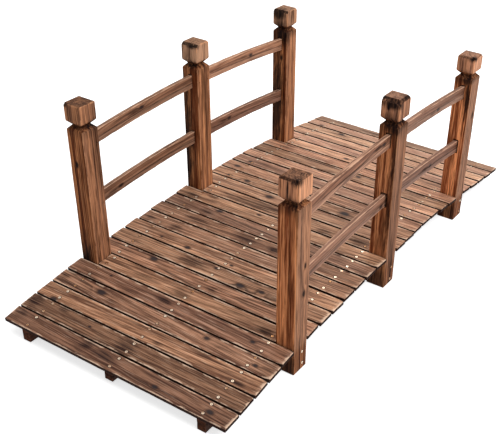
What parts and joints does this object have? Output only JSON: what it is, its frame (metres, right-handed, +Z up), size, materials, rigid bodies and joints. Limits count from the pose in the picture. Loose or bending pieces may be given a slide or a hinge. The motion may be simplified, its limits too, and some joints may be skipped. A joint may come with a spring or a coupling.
{
  "type": "garden moon bridge",
  "caption": "Small arched garden footbridge of stained fir with a boarded deck, grooved posts and curved side rails.",
  "frame": {"origin": "centre of the bridge's outline on the ground, under the crown of the arch", "axes": "+X along the bridge towards the far end, +Y across it towards the left rail, +Z up"},
  "size_m": [1.4808, 0.686, 0.547],
  "materials": {
    "deck_wood": "stained softwood, dark burnt grain, worn edges",
    "post_wood": "stained softwood, burnt at the neck",
    "rail_wood": "stained softwood, worn edges",
    "stringer_wood": "dark stained softwood",
    "screw_metal": "pale yellow plated"
  },
  "bodies": {
    "root": {"deck_board_01": "deck_wood", "deck_board_02": "deck_wood", "deck_board_03": "deck_wood", "deck_board_04": "deck_wood", "deck_board_05": "deck_wood", "deck_board_06": "deck_wood", "deck_board_07": "deck_wood", "deck_board_08": "deck_wood", "deck_board_09": "deck_wood", "deck_board_10": "deck_wood", "deck_board_11": "deck_wood", "deck_board_12": "deck_wood", "deck_board_13": "deck_wood", "deck_board_14": "deck_wood", "deck_board_15": "deck_wood", "deck_board_16": "deck_wood", "deck_board_17": "deck_wood", "deck_board_18": "deck_wood", "deck_board_19": "deck_wood", "deck_board_20": "deck_wood", "deck_board_21": "deck_wood", "deck_board_22": "deck_wood", "deck_board_23": "deck_wood", "deck_board_24": "deck_wood", "deck_board_25": "deck_wood", "deck_board_26": "deck_wood", "deck_board_27": "deck_wood", "post_near_left": "post_wood", "post_middle_left": "post_wood", "post_far_left": "post_wood", "post_near_right": "post_wood", "post_middle_right": "post_wood", "post_far_right": "post_wood", "top_rail_near_left": "rail_wood", "top_rail_far_left": "rail_wood", "lower_rail_near_left": "rail_wood", "lower_rail_far_left": "rail_wood", "top_rail_near_right": "rail_wood", "top_rail_far_right": "rail_wood", "lower_rail_near_right": "rail_wood", "lower_rail_far_right": "rail_wood", "stringer_left": "stringer_wood", "stringer_middle": "stringer_wood", "stringer_right": "stringer_wood"}
  },
  "joints": []
}
